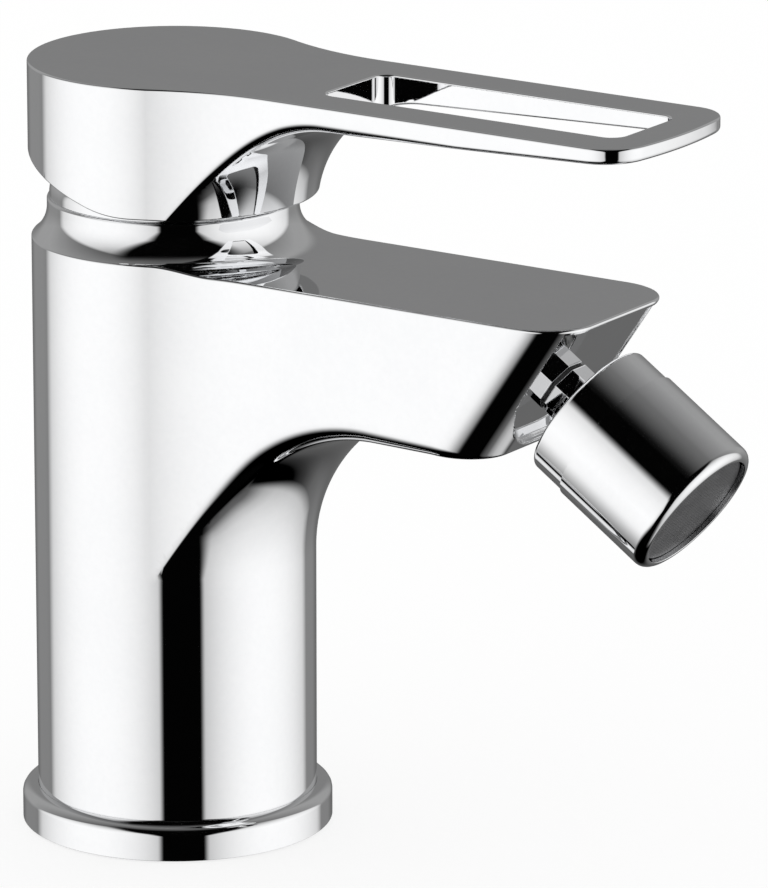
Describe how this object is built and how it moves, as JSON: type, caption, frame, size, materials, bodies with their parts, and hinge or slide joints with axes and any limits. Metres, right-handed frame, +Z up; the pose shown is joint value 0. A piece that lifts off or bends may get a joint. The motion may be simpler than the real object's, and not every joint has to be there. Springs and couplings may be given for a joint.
{
  "type": "bidet mixer tap",
  "caption": "Single-lever bidet mixer: round column on a base ring, short flat-topped spout with a ball-jointed nozzle, and a cap handle with a slotted flat lever.",
  "frame": {"origin": "on the deck, under the column's axis, at the mouth of the stud thread", "axes": "+Z up along the column, +X along the spout and the lever, +Y to the left when looking along the spout"},
  "size_m": [0.1285, 0.05, 0.1251],
  "materials": {
    "chrome": "polished chrome plate on cast brass and zinc",
    "brass": "turned brass",
    "steel": "plain stainless steel",
    "rubber": "moulded black rubber",
    "ceramic": "lapped alumina ceramic",
    "white_plastic": "moulded white acetal",
    "grey_plastic": "moulded dark grey plastic"
  },
  "bodies": {
    "mixer_body": {"base_ring": "chrome", "base_gasket": "rubber", "body_shell": "chrome", "inlet_block": "brass", "riser_cold": "brass", "riser_hot": "brass", "cartridge_cup": "brass", "cup_seals": "rubber", "port_seals": "rubber", "cartridge_base": "white_plastic", "fixed_disc": "ceramic", "cartridge_housing": "white_plastic", "cartridge_nut": "brass", "cover_dome": "chrome", "ball_stem": "chrome", "stem_washer": "rubber"},
    "swivel": {"stem_holder": "grey_plastic", "pivot_pin": "steel"},
    "lever": {"handle": "chrome", "stem": "brass", "handle_screw": "steel", "index_plug": "grey_plastic"},
    "slider": {"disc_carrier": "grey_plastic", "moving_disc": "ceramic"},
    "ball_yaw": {"upper_seat": "white_plastic"},
    "ball_pitch": {"lower_seat": "white_plastic"},
    "nozzle": {"nozzle_sleeve": "chrome", "nozzle_shell": "chrome", "jet_washer": "rubber", "jet_former": "grey_plastic", "jet_screen": "steel"}
  },
  "joints": [
    {"name": "handle_turn", "type": "hinge", "parent": "mixer_body", "child": "swivel", "pos_m": [0, 0, 0.102], "axis": [0, 0, 1], "range_deg": [-45, 45]},
    {"name": "handle_lift", "type": "hinge", "parent": "swivel", "child": "lever", "pos_m": [0, 0, 0.102], "axis": [0, -1, 0], "range_deg": [0, 16]},
    {"name": "disc_slide", "type": "slide", "parent": "swivel", "child": "slider", "axis": [1, 0, 0], "range_m": [0, 0.0051]},
    {"name": "nozzle_yaw", "type": "hinge", "parent": "mixer_body", "child": "ball_yaw", "pos_m": [0.08417, 0, 0.075], "axis": [0.5592, 0, 0.829], "range_deg": [-12, 12]},
    {"name": "nozzle_pitch", "type": "hinge", "parent": "ball_yaw", "child": "ball_pitch", "pos_m": [0.08417, 0, 0.075], "axis": [0, 1, 0], "range_deg": [-12, 12]},
    {"name": "nozzle_spin", "type": "hinge", "parent": "ball_pitch", "child": "nozzle", "pos_m": [0.08417, 0, 0.075], "axis": [0.829, 0, -0.5592], "continuous": true}
  ],
  "couplings": [
    {"joint": "disc_slide", "follows": "handle_lift", "m_per_rad": 0.018}
  ]
}
